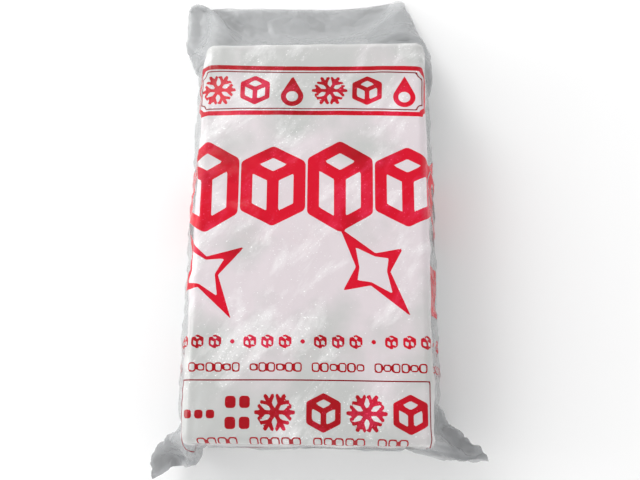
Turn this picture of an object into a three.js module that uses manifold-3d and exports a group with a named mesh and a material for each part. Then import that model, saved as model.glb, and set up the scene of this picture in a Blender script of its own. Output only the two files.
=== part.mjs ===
// A slab of block ice in its printed polyethylene bag, lying on its back.
//
// Frame: millimetres, +Z up, X across the slab, +Y towards the mouth of the bag. The origin is the
// centre of the slab's underside, on the surface that the bag lies on.
//
// Two pieces:
//   ice_block  one sawn slab of clear can ice, with edges and corners rounded by melting
//   bag        one flat tube of film, welded across the bottom and shut by laying its mouth flat.
//              The slab stretches it into a box; the film that is left over stands out along both
//              sides as a low ridge, at the two bottom corners as ears and beyond the top as a flap.

import * as THREE from 'three';
import { mergeVertices } from 'three/addons/utils/BufferGeometryUtils.js';
import Module from 'manifold-3d';

const wasm = await Module();
wasm.setup();

// ---------------------------------------------------------------------------------------------
// Driving dimensions
// ---------------------------------------------------------------------------------------------

const ICE = { width: 180, length: 320, thickness: 71, edgeRadius: 6, cornerRadius: 9 };
const WALL = 0.6; // film, drawn about ten times its real thickness so that it is a solid
const CLEARANCE = 0.3; // between the film and the ice, all round
const SLIT = 0.3; // half the space left between two layers that lie on each other

const LIFT = WALL + CLEARANCE; // underside of the ice above the surface
const HALF_HEIGHT = ICE.thickness / 2 + LIFT; // half the height of the filled bag
const LAYERS = WALL + SLIT; // half the height of the empty bag: two layers and the slit
const END = ICE.length / 2; // end faces of the ice

// Half of a cross-section of the bag, from the middle of the slab to the outer edge of the film.
// "at" is a distance from the middle up to the slab's side; past the slab "out" is a share of the
// way to the film's edge. "rise" is a share of the section's half height. Where the film is
// narrower than the slab, all of it is drawn in, and FIN is the least that stays for its edge.
const SIDE = ICE.width / 2 + LIFT;
const FIN = 5;
const SECTION = [
  { at: 0, rise: 1 },
  { at: SIDE / 2, rise: 1 },
  { at: SIDE - 5.4, rise: 1 },
  { at: SIDE - 2, rise: 0.978 },
  { at: SIDE + 0.6, out: 0, rise: 0.86 },
  { at: SIDE + 0.6, out: 0.55, rise: 0.43 },
  { at: SIDE + 0.6, out: 1, rise: 0 },
];

// Stations from the bottom weld to the mouth. y is where the section lies and half its half height,
// mid the height of its middle. left and right say where the film's edge is: how far from the middle
// it reaches, how far it is drawn along Y and how far it droops. inset moves the inside of the film
// along Y, where the film runs over an end of the slab.
const MIDDLE = HALF_HEIGHT;
const STATIONS = [
  { y: -END - 7, half: 0, mid: MIDDLE - 3, inset: 2.4, left: [122, -20, -8], right: [137, -4, -6] },
  { y: -END - 4, half: 16, mid: MIDDLE - 1.5, inset: 0.8, left: [119, -14, -6], right: [129, -3, -5] },
  { y: -END - 1.3, half: 32.6, mid: MIDDLE, inset: 0.7, left: [116, -9, -4], right: [123, -2, -4] },
  { y: -END + 3, half: MIDDLE, mid: MIDDLE, inset: 0.3, left: [112, -3, -2], right: [117, 0, -2] },
  { y: -END + 20, half: MIDDLE, mid: MIDDLE, inset: 0, left: [105, 0, 0], right: [105, 0, 0] },
  { y: -END + 38, half: MIDDLE, mid: MIDDLE, inset: 0, left: [103, 0, 0], right: [100, 0, 0] },
  { y: 0, half: MIDDLE, mid: MIDDLE, inset: 0, left: [103, 0, 0], right: [98.5, 0, 0] },
  { y: END - 38, half: MIDDLE, mid: MIDDLE, inset: 0, left: [104, 0, 0], right: [98.5, 0, 0] },
  { y: END - 3, half: MIDDLE, mid: MIDDLE, inset: -0.3, left: [111, 0, 0], right: [99.5, 0, 0] },
  { y: END + 1.3, half: 32.6, mid: MIDDLE, inset: -0.7, left: [112, 1, 0], right: [100, 0, 0] },
  { y: END + 7, half: 21, mid: 34.5, inset: -0.8, left: [114, 1, 0], right: [100.5, 0, 0] },
  { y: END + 16, half: 9, mid: 30.5, inset: -0.8, left: [116, 1, 0], right: [101, 0, 0] },
  { y: END + 30, half: 3, mid: 22.5, inset: -0.5, left: [119, 1, 0], right: [101.5, 0, 0] },
  { y: END + 48, half: 0, mid: 11.5, inset: 0, left: [122, 1, 0], right: [102, 0, 0] },
  { y: END + 64, half: 0, mid: 3.4, inset: 0, left: [124, 1, 0], right: [101, -9, 0] },
  { y: END + 81, half: 0, mid: LAYERS, inset: 0, left: [125.5, 1, 0], right: [84, 2, 0] },
];
const MOUTH_OVERRUN = 4; // how far the hollow runs out past the mouth, to open it

// ---------------------------------------------------------------------------------------------
// Shapes
// ---------------------------------------------------------------------------------------------

/** A closed solid of manifold-3d from a list of triangles' corners. */
function toManifold(positions) {
  const geometry = new THREE.BufferGeometry();
  geometry.setAttribute('position', new THREE.Float32BufferAttribute(positions, 3));
  const merged = mergeVertices(geometry, 1e-4);
  return new wasm.Manifold(
    new wasm.Mesh({
      numProp: 3,
      vertProperties: merged.getAttribute('position').array,
      triVerts: new Uint32Array(merged.getIndex().array),
    }),
  );
}

/** The three.js geometry of a manifold-3d solid. */
function toGeometry(solid) {
  const { vertProperties, triVerts, numProp } = solid.getMesh();
  const positions = [];
  for (const vertex of triVerts) {
    positions.push(...vertProperties.slice(vertex * numProp, vertex * numProp + 3));
  }
  const geometry = new THREE.BufferGeometry();
  geometry.setAttribute('position', new THREE.Float32BufferAttribute(positions, 3));
  geometry.computeVertexNormals();
  return geometry;
}

/** How far the flat part of a section reaches, up to where its edge of bare film begins. */
const innerReach = (reach) => Math.min(SIDE, reach - FIN);

/** Half a cross-section as [distance from the middle, height above the section's middle] pairs. */
function halfSection(half, reach) {
  const drawnIn = innerReach(reach) / SIDE;
  return SECTION.map(({ at, out = 0, rise }) => [
    THREE.MathUtils.lerp(at * drawnIn, reach, out),
    Math.max(LAYERS, half * rise),
  ]);
}

/** The same line moved inwards by the film's thickness, square to itself. */
function insideOf(line) {
  const last = line.length - 1;
  return line.map(([x, h], i) => {
    const [beforeX, beforeH] = line[Math.max(i - 1, 0)];
    const [afterX, afterH] = line[Math.min(i + 1, last)];
    const length = Math.hypot(afterX - beforeX, afterH - beforeH);
    const inX = i === last ? -3 * WALL : (WALL * (afterH - beforeH)) / length;
    const inH = i === last ? 0 : (-WALL * (afterX - beforeX)) / length;
    return [x + inX, Math.max(SLIT, h + inH)];
  });
}

/** One station as a row of upper and lower points, from the film's left edge to its right edge. */
function stationRow(station, hollow) {
  const { y, half, mid, inset } = station;
  const points = [];
  for (const [side, [reach, alongY, droop]] of [[-1, station.left], [1, station.right]]) {
    const outer = halfSection(half, reach);
    const line = hollow ? insideOf(outer) : outer;
    const row = line.map(([x, h]) => {
      const beyond = Math.max(0, (x - innerReach(reach)) / (reach - innerReach(reach))) ** 1.5;
      const place = new THREE.Vector3(
        side * x,
        y + (hollow ? inset : 0) + alongY * beyond,
        mid + droop * beyond,
      );
      return { place, h };
    });
    points.push(...(side < 0 ? row.reverse() : row.slice(1)));
  }
  return points;
}

/** A closed solid through the stations: the outside of the bag, or the hollow inside it. */
function pouch(hollow) {
  const rows = STATIONS.map((station) => stationRow(station, hollow));
  if (hollow) {
    rows.at(-1).forEach(({ place }) => {
      place.y += MOUTH_OVERRUN;
    });
  }
  const upper = ({ place, h }) => [place.x, place.y, place.z + h];
  const lower = ({ place, h }) => [place.x, place.y, place.z - h];
  const positions = [];
  const quad = (a, b, c, d) => positions.push(...a, ...b, ...c, ...a, ...c, ...d);

  for (let j = 0; j + 1 < rows.length; j += 1) {
    const [near, far] = [rows[j], rows[j + 1]];
    for (let i = 0; i + 1 < near.length; i += 1) {
      quad(upper(near[i]), upper(near[i + 1]), upper(far[i + 1]), upper(far[i]));
      quad(lower(near[i]), lower(far[i]), lower(far[i + 1]), lower(near[i + 1]));
    }
    const last = near.length - 1;
    quad(lower(near[0]), upper(near[0]), upper(far[0]), lower(far[0]));
    quad(lower(near[last]), lower(far[last]), upper(far[last]), upper(near[last]));
  }
  for (let i = 0; i + 1 < rows[0].length; i += 1) {
    const [weld, mouth] = [rows[0], rows.at(-1)];
    quad(lower(weld[i]), lower(weld[i + 1]), upper(weld[i + 1]), upper(weld[i]));
    quad(lower(mouth[i]), upper(mouth[i]), upper(mouth[i + 1]), lower(mouth[i + 1]));
  }
  return toManifold(positions);
}

/** The slab: a round-cornered rectangle, extruded with round edges. */
function iceGeometry() {
  const { width, length, thickness, edgeRadius, cornerRadius } = ICE;
  const [halfX, halfY] = [width / 2 - edgeRadius, length / 2 - edgeRadius];
  const radius = cornerRadius - edgeRadius;
  const outline = new THREE.Shape();
  outline.absarc(halfX - radius, halfY - radius, radius, 0, Math.PI / 2);
  outline.absarc(-halfX + radius, halfY - radius, radius, Math.PI / 2, Math.PI);
  outline.absarc(-halfX + radius, -halfY + radius, radius, Math.PI, 1.5 * Math.PI);
  outline.absarc(halfX - radius, -halfY + radius, radius, 1.5 * Math.PI, 2 * Math.PI);
  outline.closePath();
  const geometry = new THREE.ExtrudeGeometry(outline, {
    depth: thickness - 2 * edgeRadius,
    bevelThickness: edgeRadius,
    bevelSize: edgeRadius,
    bevelSegments: 4,
    curveSegments: 5,
  });
  geometry.translate(0, 0, edgeRadius);
  return geometry;
}

// ---------------------------------------------------------------------------------------------
// Pieces
// ---------------------------------------------------------------------------------------------

const iceMaterial = new THREE.MeshStandardMaterial({ color: '#dfe3e4', roughness: 0.15, metalness: 0 });
const filmMaterial = new THREE.MeshStandardMaterial({ color: '#c9cccc', roughness: 0.3, metalness: 0 });

const iceBlock = new THREE.Mesh(iceGeometry(), iceMaterial);
iceBlock.name = 'ice_block';
iceBlock.position.z = LIFT;

const bag = new THREE.Mesh(toGeometry(pouch(false).subtract(pouch(true))), filmMaterial);
bag.name = 'bag';

const baggedIce = new THREE.Group();
baggedIce.add(iceBlock, bag);

export default baggedIce;
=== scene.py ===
"""Block ice in its printed film bag, lying on its back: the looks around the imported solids.

The slab is clear can ice with the air that froze into it: small bubbles, long air threads and a few
healed cracks, all sealed inside. The bag is one length of flat tube film. Its shape is worked out by
letting a sheet of that flat size close over the slab while the slab rises between its two layers, so
the ears, the folded sides and the flap past the end come from the film that is left over.
Solids and sizes are in millimetres here until a mesh is made, and in metres from then on.
"""

from __future__ import annotations

import logging
import math
from dataclasses import dataclass, field
from enum import Enum
from functools import partial
from typing import Iterable, Sequence

import bpy
import numpy as np
from mathutils import Euler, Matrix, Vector

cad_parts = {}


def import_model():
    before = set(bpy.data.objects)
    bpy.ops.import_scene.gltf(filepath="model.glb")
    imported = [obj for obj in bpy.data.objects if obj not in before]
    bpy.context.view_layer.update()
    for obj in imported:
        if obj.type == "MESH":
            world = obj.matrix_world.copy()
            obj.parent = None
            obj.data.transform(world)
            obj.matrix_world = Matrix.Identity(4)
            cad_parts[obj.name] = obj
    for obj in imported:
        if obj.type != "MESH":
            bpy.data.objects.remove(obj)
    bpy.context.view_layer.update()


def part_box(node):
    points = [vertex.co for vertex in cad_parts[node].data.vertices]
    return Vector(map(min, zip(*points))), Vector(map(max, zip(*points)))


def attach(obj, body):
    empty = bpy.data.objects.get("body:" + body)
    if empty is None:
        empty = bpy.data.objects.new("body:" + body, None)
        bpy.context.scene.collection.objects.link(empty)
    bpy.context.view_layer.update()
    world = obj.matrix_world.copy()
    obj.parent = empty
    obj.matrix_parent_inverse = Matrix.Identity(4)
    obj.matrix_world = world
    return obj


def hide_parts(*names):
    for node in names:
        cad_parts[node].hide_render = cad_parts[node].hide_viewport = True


LOG = logging.getLogger("bagged_ice")
MM = 0.001
BODY = "root"
Array = np.ndarray
Pair = tuple[float, float]
Triple = tuple[float, float, float]
NoiseLayer = tuple[Triple, int, float]


# ---------------------------------------------------------------------------------------------
# Numbers
# ---------------------------------------------------------------------------------------------


def smooth_step(value: Array | float, start: Array | float, end: Array | float) -> Array | float:
    """A smooth rise from 0 at start to 1 at end, flat outside them (3t^2 - 2t^3).

    Args:
        value: Where it is taken.
        start: Where the rise begins.
        end: Where the rise is complete.

    Returns:
        The height of the rise at each value.
    """
    share = np.clip((value - start) / (end - start), 0.0, 1.0)
    return share * share * (3.0 - 2.0 * share)


def linear_colour(code: str) -> tuple[float, float, float, float]:
    """Turns an sRGB hex colour into the linear values that a shader works with.

    Args:
        code: The colour as #rrggbb.

    Returns:
        Linear red, green and blue, and an alpha of 1.
    """
    shares = [int(code[i : i + 2], 16) / 255.0 for i in (1, 3, 5)]
    linear = [s / 12.92 if s <= 0.04045 else ((s + 0.055) / 1.055) ** 2.4 for s in shares]
    return (*linear, 1.0)


def pattern_scale(size_mm: float) -> float:
    """The scale of a noise, per metre, whose features are a size in millimetres."""
    return 1.0 / (size_mm * MM)


def catmull_rom(grid: Array, places: Array, wrap: bool) -> Array:
    """Samples rows of points on the smooth curves through them.

    Each sample is the Catmull-Rom blend of the two rows before it and the two after it.

    Args:
        grid: Points or values whose first axis is the one to sample along.
        places: Where to sample, in steps of that axis.
        wrap: Whether the axis closes on itself.

    Returns:
        The samples, with as many rows as there are places.
    """
    count = len(grid)
    base = np.floor(places).astype(int)
    if not wrap:
        base = np.clip(base, 0, count - 2)
    t = (places - base).reshape((-1,) + (1,) * (grid.ndim - 1))
    weights = (
        -0.5 * t + t**2 - 0.5 * t**3,
        1.0 - 2.5 * t**2 + 1.5 * t**3,
        0.5 * t + 2.0 * t**2 - 1.5 * t**3,
        -0.5 * t**2 + 0.5 * t**3,
    )
    total = 0.0
    for offset, weight in zip((-1, 0, 1, 2), weights):
        rows = (base + offset) % count if wrap else np.clip(base + offset, 0, count - 1)
        total = total + weight * grid[rows]
    return total


def value_noise(points: Array, spacing: Sequence[float], seed: int) -> Array:
    """Smooth random values in space: a random number at each lattice point, blended between them.

    Args:
        points: Places, one a row.
        spacing: The lattice's step along X, Y and Z.
        seed: Seeds the random numbers.

    Returns:
        One value from 0 to 1 for each place.
    """
    scaled = points / np.asarray(spacing, float)
    scaled = scaled - np.floor(scaled.min(0))
    lattice = np.random.default_rng(seed).random(tuple(np.ceil(scaled.max(0)).astype(int) + 2))
    base = np.floor(scaled).astype(int)
    share = smooth_step(scaled - base, 0.0, 1.0)
    total = np.zeros(len(points))
    for corner in np.ndindex(2, 2, 2):
        weight = np.prod(np.where(corner, share, 1.0 - share), axis=1)
        total += weight * lattice[tuple((base + corner).T)]
    return total


def layered_noise(points: Array, layers: Sequence[NoiseLayer]) -> Array:
    """The weighted sum of noises of several sizes.

    Args:
        points: Places, one a row.
        layers: The lattice's step, the seed and the weight of each noise.

    Returns:
        One value for each place.
    """
    return sum(weight * value_noise(points, spacing, seed) for spacing, seed, weight in layers)


def facets(points: Array, spacing: float, seed: int) -> Array:
    """The relief of crumpled film: flat facets that meet in sharp ridges and valleys.

    Two sets of points are strewn over the plane. The height is the squared distance to the nearest
    point of one set less the squared distance to the nearest of the other, over the spacing. Inside
    one facet both nearest points stay the same, the squares cancel, and the height is a plane.

    Args:
        points: Places on the flat film, with the two coordinates on the last axis.
        spacing: The usual distance between strewn points.
        seed: Seeds the strewing.

    Returns:
        Heights, from about minus a quarter to a quarter of the spacing.
    """
    random = np.random.default_rng(seed)
    flat = points.reshape(-1, 2)
    low, high = flat.min(0) - spacing, flat.max(0) + spacing
    counts = np.ceil((high - low) / spacing).astype(int)
    cell = np.clip(np.floor((flat - low) / spacing).astype(int), 0, counts - 1)
    nearest = []
    for _ in range(2):
        strewn = random.random((counts[0] + 2, counts[1] + 2, 2))
        best = np.full(len(flat), np.inf)
        for i in (-1, 0, 1):
            for j in (-1, 0, 1):
                column, row = cell[:, 0] + i, cell[:, 1] + j
                corner = np.stack([column, row], 1) + strewn[column + 1, row + 1]
                offset = flat - (low + corner * spacing)
                best = np.minimum(best, np.einsum("ij,ij->i", offset, offset))
        nearest.append(best)
    return ((nearest[0] - nearest[1]) / spacing).reshape(points.shape[:-1])


def convex_faces(shape: Array) -> Array:
    """The triangles of a small regular solid: every three points whose plane has all others behind.

    Args:
        shape: The solid's corners.

    Returns:
        Three corner numbers a face, counter-clockwise from outside.
    """
    faces = []
    count = len(shape)
    for a in range(count):
        for b in range(a + 1, count):
            for c in range(b + 1, count):
                normal = np.cross(shape[b] - shape[a], shape[c] - shape[a])
                ahead = (shape - shape[a]) @ normal
                if ahead.max() < 1e-9:
                    faces.append((a, b, c))
                elif ahead.min() > -1e-9:
                    faces.append((a, c, b))
    return np.array(faces)


@dataclass
class RoundedBox:
    """A box with rounded edges and corners, in millimetres."""

    centre: Array
    half: Array
    radius: float

    def split(self, points: Array) -> tuple[Array, Array]:
        """Finds how each point lies to the box's inner core, the part that no rounding reaches.

        Args:
            points: Places, with three values on the last axis.

        Returns:
            The way from the core to each point, and its length: zero inside the core.
        """
        offset = points - self.centre
        core = self.half - self.radius
        outside = offset - np.clip(offset, -core, core)
        return outside, np.sqrt(np.einsum("...i,...i->...", outside, outside))

    def gap(self, points: Array) -> Array:
        """How far each point lies outside the box's skin."""
        return self.split(points)[1] - self.radius

    def push_out(self, points: Array, gap: float) -> None:
        """Moves points that are too near straight out, in place, until they keep a gap.

        Args:
            points: Places, with three values on the last axis.
            gap: The least distance from the box's skin.
        """
        outside, length = self.split(points)
        near = (length < self.radius + gap) & (length > 1e-4)
        stretch = np.where(near, (self.radius + gap) / np.maximum(length, 1e-4) - 1.0, 0.0)
        points += outside * stretch[..., None]


# ---------------------------------------------------------------------------------------------
# Meshes and nodes
# ---------------------------------------------------------------------------------------------


def add_mesh(name: str, points: Array, faces: Array, smooth: bool = True) -> bpy.types.Object:
    """Puts arrays of points and faces into a new object at the origin.

    Args:
        name: The object's name.
        points: Vertices in metres, three values each.
        faces: Vertex numbers, one face a row, all with as many corners.
        smooth: Whether the faces are shaded smooth.

    Returns:
        The new object, linked to the scene.
    """
    faces = np.ascontiguousarray(faces, dtype=np.int32)
    count, corners = faces.shape
    mesh = bpy.data.meshes.new(name)
    mesh.vertices.add(len(points))
    mesh.vertices.foreach_set("co", np.asarray(points, np.float32).ravel())
    mesh.loops.add(faces.size)
    mesh.loops.foreach_set("vertex_index", faces.ravel())
    mesh.polygons.add(count)
    mesh.polygons.foreach_set("loop_start", np.arange(0, faces.size, corners, dtype=np.int32))
    mesh.polygons.foreach_set("loop_total", np.full(count, corners, np.int32))
    mesh.polygons.foreach_set("use_smooth", np.full(count, smooth))
    mesh.update(calc_edges=True)
    mesh.validate()
    piece = bpy.data.objects.new(name, mesh)
    bpy.context.scene.collection.objects.link(piece)
    return piece


def add_attribute(piece: bpy.types.Object, name: str, values: Array) -> None:
    """Stores one number a vertex on a piece, for its material to read.

    Args:
        piece: The piece.
        name: The attribute's name.
        values: One number for each vertex.
    """
    attribute = piece.data.attributes.new(name, "FLOAT", "POINT")
    attribute.data.foreach_set("value", np.asarray(values, np.float32).ravel())


def grid_faces(rows: int, columns: int, wrap: bool = False) -> Array:
    """The four-cornered faces of a grid of points numbered along its rows.

    Args:
        rows: Rows of points.
        columns: Points in a row.
        wrap: Whether the last column joins the first.

    Returns:
        One face a row, four vertex numbers each.
    """
    numbers = np.arange(rows * columns).reshape(rows, columns)
    if wrap:
        numbers = np.concatenate([numbers, numbers[:, :1]], axis=1)
    corners = (numbers[:-1, :-1], numbers[:-1, 1:], numbers[1:, 1:], numbers[1:, :-1])
    return np.stack(corners, -1).reshape(-1, 4)


def new_material(name: str) -> bpy.types.Material:
    """Makes a material whose node tree is still empty.

    Args:
        name: The material's name.

    Returns:
        The material.
    """
    material = bpy.data.materials.new(name)
    material.use_nodes = True
    material.node_tree.nodes.clear()
    return material


def add_node(
    owner: bpy.types.Material | bpy.types.World, kind: str, /, **settings: object
) -> bpy.types.Node:
    """Adds a node, and sets or links its sockets and properties.

    A setting whose name is a property of the node sets that; any other names an input socket, with
    _ for a space, or its number after an "i". A setting that is a socket is linked, and any other
    value is set.

    Args:
        owner: The material or world that gets the node.
        kind: The node's type.
        settings: Its properties and inputs.

    Returns:
        The new node.
    """
    tree = owner.node_tree
    node = tree.nodes.new(kind)
    for name, value in settings.items():
        if hasattr(node, name) and not isinstance(value, bpy.types.NodeSocket):
            setattr(node, name, value)
            continue
        number = name[1:]
        socket = node.inputs[int(number)] if number.isdigit() else node.inputs[name.replace("_", " ")]
        if isinstance(value, bpy.types.NodeSocket):
            tree.links.new(value, socket)
        else:
            socket.default_value = value
    return node


# ---------------------------------------------------------------------------------------------
# Finishes
# ---------------------------------------------------------------------------------------------


@dataclass(frozen=True)
class ClearIce:
    """Clear can ice, sawn and then melted smooth: water-clear, wet-looking where bare and faintly
    frosted in patches, with a trace of blue where it is thick."""

    ior: float = 1.31
    depth_colour: str = "#cfe2ea"
    depth_density: float = 1.2
    polish: float = 0.06
    frosted: float = 0.3
    patch_mm: float = 38.0

    def material(self) -> bpy.types.Material:
        """Builds the material: plain transmission and absorption, with the gloss varied in patches.

        Returns:
            The material.
        """
        material = new_material("clear_can_ice")
        add = partial(add_node, material)
        place = add("ShaderNodeTexCoord").outputs["Object"]
        patches = add("ShaderNodeTexNoise", Vector=place, Scale=pattern_scale(self.patch_mm), Detail=6.0)
        gloss = add(
            "ShaderNodeMapRange",
            Value=patches.outputs["Fac"],
            From_Min=0.4,
            From_Max=0.7,
            To_Min=self.polish,
            To_Max=self.frosted,
        )
        shader = add(
            "ShaderNodeBsdfPrincipled",
            Base_Color=linear_colour("#ffffff"),
            Transmission_Weight=1.0,
            IOR=self.ior,
            Roughness=gloss.outputs["Result"],
        )
        depth = add(
            "ShaderNodeVolumeAbsorption",
            Color=linear_colour(self.depth_colour),
            Density=self.depth_density,
        )
        add("ShaderNodeOutputMaterial", Surface=shader.outputs["BSDF"], Volume=depth.outputs["Volume"])
        return material


@dataclass(frozen=True)
class TrappedAir:
    """Air frozen into the ice: each bubble's wall throws the light back, so it looks white."""

    name: str
    colour: str = "#fbfcfd"
    shade: str = "#e9eef2"
    roughness: float = 0.5
    mottle_mm: float = 10.0 / 3.0

    def material(self) -> bpy.types.Material:
        """Builds the material: white, a little mottled from bubble to bubble.

        Returns:
            The material.
        """
        material = new_material(self.name)
        add = partial(add_node, material)
        place = add("ShaderNodeTexCoord").outputs["Object"]
        mottle = add("ShaderNodeTexNoise", Vector=place, Scale=pattern_scale(self.mottle_mm), Detail=2.0)
        white = add(
            "ShaderNodeMix",
            data_type="RGBA",
            Factor=mottle.outputs["Fac"],
            i6=linear_colour(self.colour),
            i7=linear_colour(self.shade),
        )
        shader = add("ShaderNodeBsdfPrincipled", Base_Color=white.outputs[2], Roughness=self.roughness)
        add("ShaderNodeOutputMaterial", Surface=shader.outputs["BSDF"])
        return material


@dataclass(frozen=True)
class HealedCrack:
    """A crack that froze shut again: a veil of minute air pockets, dense here and bare there."""

    colour: str = "#ffffff"
    roughness: float = 0.6
    most_alpha: float = 0.75
    cloud_mm: float = 16.0
    pocket_mm: float = 3.0

    def material(self) -> bpy.types.Material:
        """Builds the material: white, with its cover broken up at two scales.

        Returns:
            The material.
        """
        material = new_material("healed_crack")
        add = partial(add_node, material)
        place = add("ShaderNodeTexCoord").outputs["Object"]
        clouds, pockets = (
            add("ShaderNodeTexNoise", Vector=place, Scale=pattern_scale(size), Detail=5.0).outputs["Fac"]
            for size in (self.cloud_mm, self.pocket_mm)
        )
        both = add("ShaderNodeMath", operation="MULTIPLY", i0=clouds, i1=pockets)
        alpha = add(
            "ShaderNodeMapRange",
            Value=both.outputs[0],
            From_Min=0.22,
            From_Max=0.42,
            To_Min=0.0,
            To_Max=self.most_alpha,
        )
        shader = add(
            "ShaderNodeBsdfPrincipled",
            Base_Color=linear_colour(self.colour),
            Roughness=self.roughness,
            Alpha=alpha.outputs["Result"],
        )
        add("ShaderNodeOutputMaterial", Surface=shader.outputs["BSDF"])
        return material


@dataclass(frozen=True)
class WhiteBoard:
    """Matt white board: it takes soft shadows and shows no gloss."""

    colour: str = "#f6f6f6"
    roughness: float = 0.9

    def material(self) -> bpy.types.Material:
        """Builds the material.

        Returns:
            The material.
        """
        material = new_material("white_board")
        shader = add_node(
            material,
            "ShaderNodeBsdfPrincipled",
            Base_Color=linear_colour(self.colour),
            Roughness=self.roughness,
            Specular_IOR_Level=0.0,
        )
        add_node(material, "ShaderNodeOutputMaterial", Surface=shader.outputs["BSDF"])
        return material


@dataclass(frozen=True)
class Coat:
    """What one coat on the film shows: its colour, how much it covers and how rough it is."""

    colour: str
    cover: float
    roughness: float


class Ink(Enum):
    """The film's inks, by the attribute that holds the distance to the edge of each one's shapes."""

    BOLD = "ink_bold"
    LINE = "ink_line"
    RULE = "ink_rule"


CLING = "cling"
ALONG = "along_film"
GATHER = "gathered"


@dataclass(frozen=True)
class PrintedFilm:
    """Blown low-density polyethylene film, 0.06 mm thick, printed in one red: grey and hazy but still
    see-through, glossy, with a faint orange peel. Frost whitens it where it lies on the ice."""

    film: Coat = Coat("#b8babb", 0.44, 0.2)
    weld: Coat = Coat("#c4c6c8", 0.6, 0.3)
    frost: Coat = Coat("#e1d7db", 0.84, 0.2)
    wet: Coat = Coat("#cbccca", 0.78, 0.16)
    gathered: Coat = Coat("#8f9193", 0.62, 0.15)
    # White of the rime, also painted on its fine flecks as sparkle highlights.
    rime_and_glints: Coat = Coat("#fbfafa", 0.92, 0.24)
    line_ink: Coat = Coat("#9c0012", 0.99, 0.2)
    rule_ink: Coat = Coat("#7c0c18", 0.99, 0.2)
    bold_ink: Coat = Coat("#cc0024", 0.99, 0.2)
    thin_ink: Coat = Coat("#9c0010", 0.99, 0.2)
    # Lighter pinker ink where rime lies under the bold ink, partly a painted sparkle highlight from the
    # rime's flecks.
    misted_glint_ink: Coat = Coat("#e23a60", 0.99, 0.3)
    ior: float = 1.51
    specular: float = 0.32
    end_wetness: float = 0.3
    half_length_m: float = 0.16
    line_half_mm: float = 0.5
    lean_degrees: float = 50.0
    wisp_mm: Triple = (52.0, 26.0, 30.0)
    patch_mm: float = 55.0
    # Size of the rime's fine white flecks, which are painted sparkle highlights.
    glint_fleck_mm: float = 1.3
    peel_mm: float = 1.6
    peel_height_m: float = 0.0002
    weld_mm: Pair = (5.2, 2.2)

    def material(self) -> bpy.types.Material:
        """Builds the material: each coat is mixed over what lies below it, by its own share.

        Returns:
            The material.
        """
        material = new_material("printed_polyethylene_film")
        add = partial(add_node, material)
        place = add("ShaderNodeTexCoord").outputs["Object"]
        colour: object = linear_colour(self.film.colour)
        cover: object = self.film.cover
        roughness: object = self.film.roughness
        for share, coat in self.coats(material, place):
            above = linear_colour(coat.colour)
            mix = add("ShaderNodeMix", data_type="RGBA", Factor=share, i6=colour, i7=above)
            colour = mix.outputs[2]
            cover, roughness = (
                add("ShaderNodeMix", Factor=share, i2=below, i3=over).outputs[0]
                for below, over in ((cover, coat.cover), (roughness, coat.roughness))
            )
        peel = add("ShaderNodeTexNoise", Vector=place, Scale=pattern_scale(self.peel_mm), Detail=2.0)
        bump = add(
            "ShaderNodeBump", Strength=0.12, Distance=self.peel_height_m, Height=peel.outputs["Fac"]
        )
        shader = add(
            "ShaderNodeBsdfPrincipled",
            Base_Color=colour,
            Alpha=cover,
            Roughness=roughness,
            Normal=bump.outputs["Normal"],
            IOR=self.ior,
            Specular_IOR_Level=self.specular,
        )
        add("ShaderNodeOutputMaterial", Surface=shader.outputs["BSDF"])
        return material

    def coats(
        self, material: bpy.types.Material, place: bpy.types.NodeSocket
    ) -> tuple[tuple[bpy.types.NodeSocket, Coat], ...]:
        """The coats on the bare film, from the lowest up, each with the share of it that shows.

        The ink and the weld are read from the film's own attributes. Frost lies where the film
        clings. Wet patches and rime are patterns within the frost: the patches are broad noise, with
        the square of the distance from the slab's middle added, so the ends are wetter. The rime's
        fine flecks are painted sparkle highlights, and the bold ink is lighter where the rime lies.

        Args:
            material: The film's material.
            place: The socket with object coordinates.

        Returns:
            Pairs of a share and a coat.
        """
        add = partial(add_node, material)
        read = {
            name: add("ShaderNodeAttribute", attribute_name=name).outputs["Fac"]
            for name in (*(ink.value for ink in Ink), CLING, ALONG, GATHER)
        }
        bold = add("ShaderNodeMath", operation="LESS_THAN", i0=read[Ink.BOLD.value], i1=0.0).outputs[0]
        line, rule, weld = (
            add("ShaderNodeMath", operation="COMPARE", i0=read[name], i1=middle, i2=half).outputs[0]
            for name, middle, half in (
                (Ink.LINE.value, 0.0, self.line_half_mm),
                (Ink.RULE.value, 0.0, self.line_half_mm),
                (ALONG, *self.weld_mm),
            )
        )
        broad = add("ShaderNodeTexNoise", Vector=place, Scale=pattern_scale(self.patch_mm), Detail=5.0)
        way = add("ShaderNodeSeparateXYZ", Vector=place).outputs["Y"]
        squared = add("ShaderNodeMath", operation="MULTIPLY", i0=way, i1=way)
        ends = add(
            "ShaderNodeMath",
            operation="MULTIPLY_ADD",
            i0=squared.outputs[0],
            i1=self.end_wetness / self.half_length_m**2,
            i2=broad.outputs["Fac"],
        )
        patches = add("ShaderNodeMapRange", Value=ends.outputs[0], From_Min=0.5, From_Max=0.72)
        wetness = patches.outputs["Result"]
        cling = read[CLING]
        # Rime, with its painted sparkle flecks, lies only where the film clings.
        wet, rime_and_glints = (
            add("ShaderNodeMath", operation="MULTIPLY", i0=pattern, i1=cling).outputs[0]
            for pattern in (wetness, self.rime_and_glint_cover(material, place))
        )
        # Over the bold ink: darker where wet, and lighter where rime lies, which is partly a painted
        # sparkle highlight.
        thin, misted_glints = (
            add("ShaderNodeMath", operation="MULTIPLY", i0=bold, i1=pattern).outputs[0]
            for pattern in (wetness, rime_and_glints)
        )
        return (
            (weld, self.weld),
            (read[GATHER], self.gathered),
            (cling, self.frost),
            (wet, self.wet),
            (rime_and_glints, self.rime_and_glints),
            (line, self.line_ink),
            (rule, self.rule_ink),
            (bold, self.bold_ink),
            (thin, self.thin_ink),
            (misted_glints, self.misted_glint_ink),
        )

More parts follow.
